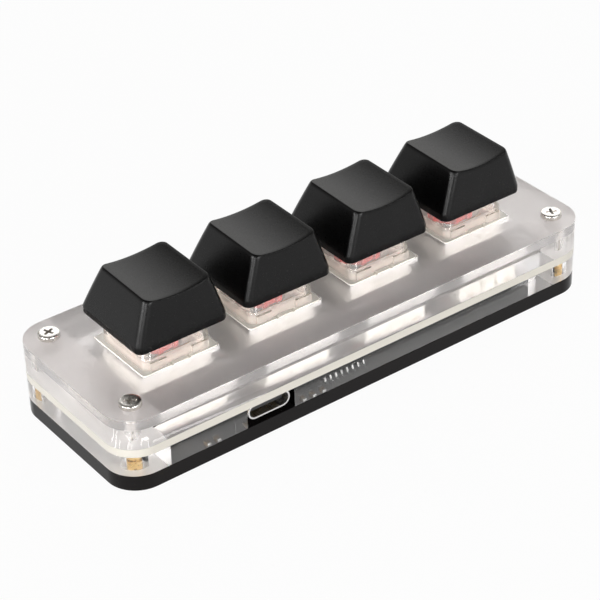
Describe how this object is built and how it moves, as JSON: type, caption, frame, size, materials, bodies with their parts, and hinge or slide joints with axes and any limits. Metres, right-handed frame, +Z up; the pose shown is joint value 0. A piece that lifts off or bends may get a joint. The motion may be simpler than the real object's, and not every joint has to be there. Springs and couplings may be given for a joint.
{
  "type": "macro keypad",
  "caption": "Low macro keypad: sculpted black keycaps on linear key switches in a row, in a stacked case of frosted, clear and black acrylic round a circuit board.",
  "frame": {"origin": "centre of the footprint, on the surface that the rubber feet stand on", "axes": "+X along the row of keys to the user's right, +Y away from the user towards the side with the cable socket, +Z up along the keys' travel"},
  "size_m": [0.105, 0.036, 0.0312],
  "materials": {
    "black_acrylic": "polished sheet with sawn edges",
    "foot_rubber": "matt silicone",
    "clear_acrylic": "clear, polished",
    "frosted_acrylic": "frosted top face, polished edges",
    "brass_metal": "machined",
    "board_laminate": "white solder mask over glass laminate",
    "nickel_steel": "nickel plate",
    "socket_steel": "drawn stainless sheet",
    "black_nylon": "moulded",
    "gold_plate": "gold plate",
    "chip_epoxy": "moulded, matt",
    "tinned_lead": "tin plate",
    "capacitor_ceramic": "fired",
    "housing_nylon": "translucent moulding",
    "clear_cover": "clear moulding",
    "contact_copper": "stamped strip",
    "light_package": "moulded package with a clear fill",
    "stem_red": "satin moulding",
    "spring_steel": "drawn wire",
    "keycap_black": "fine matt texture"
  },
  "bodies": {
    "case": {"base_plate": "black_acrylic", "rubber_feet": "foot_rubber", "lower_frame": "clear_acrylic", "threaded_inserts": "brass_metal", "circuit_board": "board_laminate", "upper_frame": "clear_acrylic", "top_plate": "frosted_acrylic", "top_screws": "nickel_steel", "base_screws": "nickel_steel", "socket_shell": "socket_steel", "socket_tongue": "black_nylon", "socket_contacts": "gold_plate", "chip_body": "chip_epoxy", "chip_leads": "tinned_lead", "capacitors": "capacitor_ceramic", "capacitor_ends": "tinned_lead", "bottom_housing_1": "housing_nylon", "bottom_housing_2": "housing_nylon", "bottom_housing_3": "housing_nylon", "bottom_housing_4": "housing_nylon", "top_housing_1": "clear_cover", "top_housing_2": "clear_cover", "top_housing_3": "clear_cover", "top_housing_4": "clear_cover", "contact_leaf_1": "contact_copper", "contact_leaf_2": "contact_copper", "contact_leaf_3": "contact_copper", "contact_leaf_4": "contact_copper", "fixed_contact_1": "contact_copper", "fixed_contact_2": "contact_copper", "fixed_contact_3": "contact_copper", "fixed_contact_4": "contact_copper", "light_1": "light_package", "light_2": "light_package", "light_3": "light_package", "light_4": "light_package", "spring_1": "spring_steel", "spring_2": "spring_steel", "spring_3": "spring_steel", "spring_4": "spring_steel"},
    "key_1": {"stem_1": "stem_red", "keycap_1": "keycap_black"},
    "key_2": {"stem_2": "stem_red", "keycap_2": "keycap_black"},
    "key_3": {"stem_3": "stem_red", "keycap_3": "keycap_black"},
    "key_4": {"stem_4": "stem_red", "keycap_4": "keycap_black"}
  },
  "joints": [
    {"name": "key_1_press", "type": "slide", "parent": "case", "child": "key_1", "axis": [0, 0, 1], "range_m": [-0.004, 0], "stiffness_N_per_m": 75, "springref_m": 0.004, "deforming": ["spring_1"]},
    {"name": "key_2_press", "type": "slide", "parent": "case", "child": "key_2", "axis": [0, 0, 1], "range_m": [-0.004, 0], "stiffness_N_per_m": 75, "springref_m": 0.004, "deforming": ["spring_2"]},
    {"name": "key_3_press", "type": "slide", "parent": "case", "child": "key_3", "axis": [0, 0, 1], "range_m": [-0.004, 0], "stiffness_N_per_m": 75, "springref_m": 0.004, "deforming": ["spring_3"]},
    {"name": "key_4_press", "type": "slide", "parent": "case", "child": "key_4", "axis": [0, 0, 1], "range_m": [-0.004, 0], "stiffness_N_per_m": 75, "springref_m": 0.004, "deforming": ["spring_4"]}
  ]
}
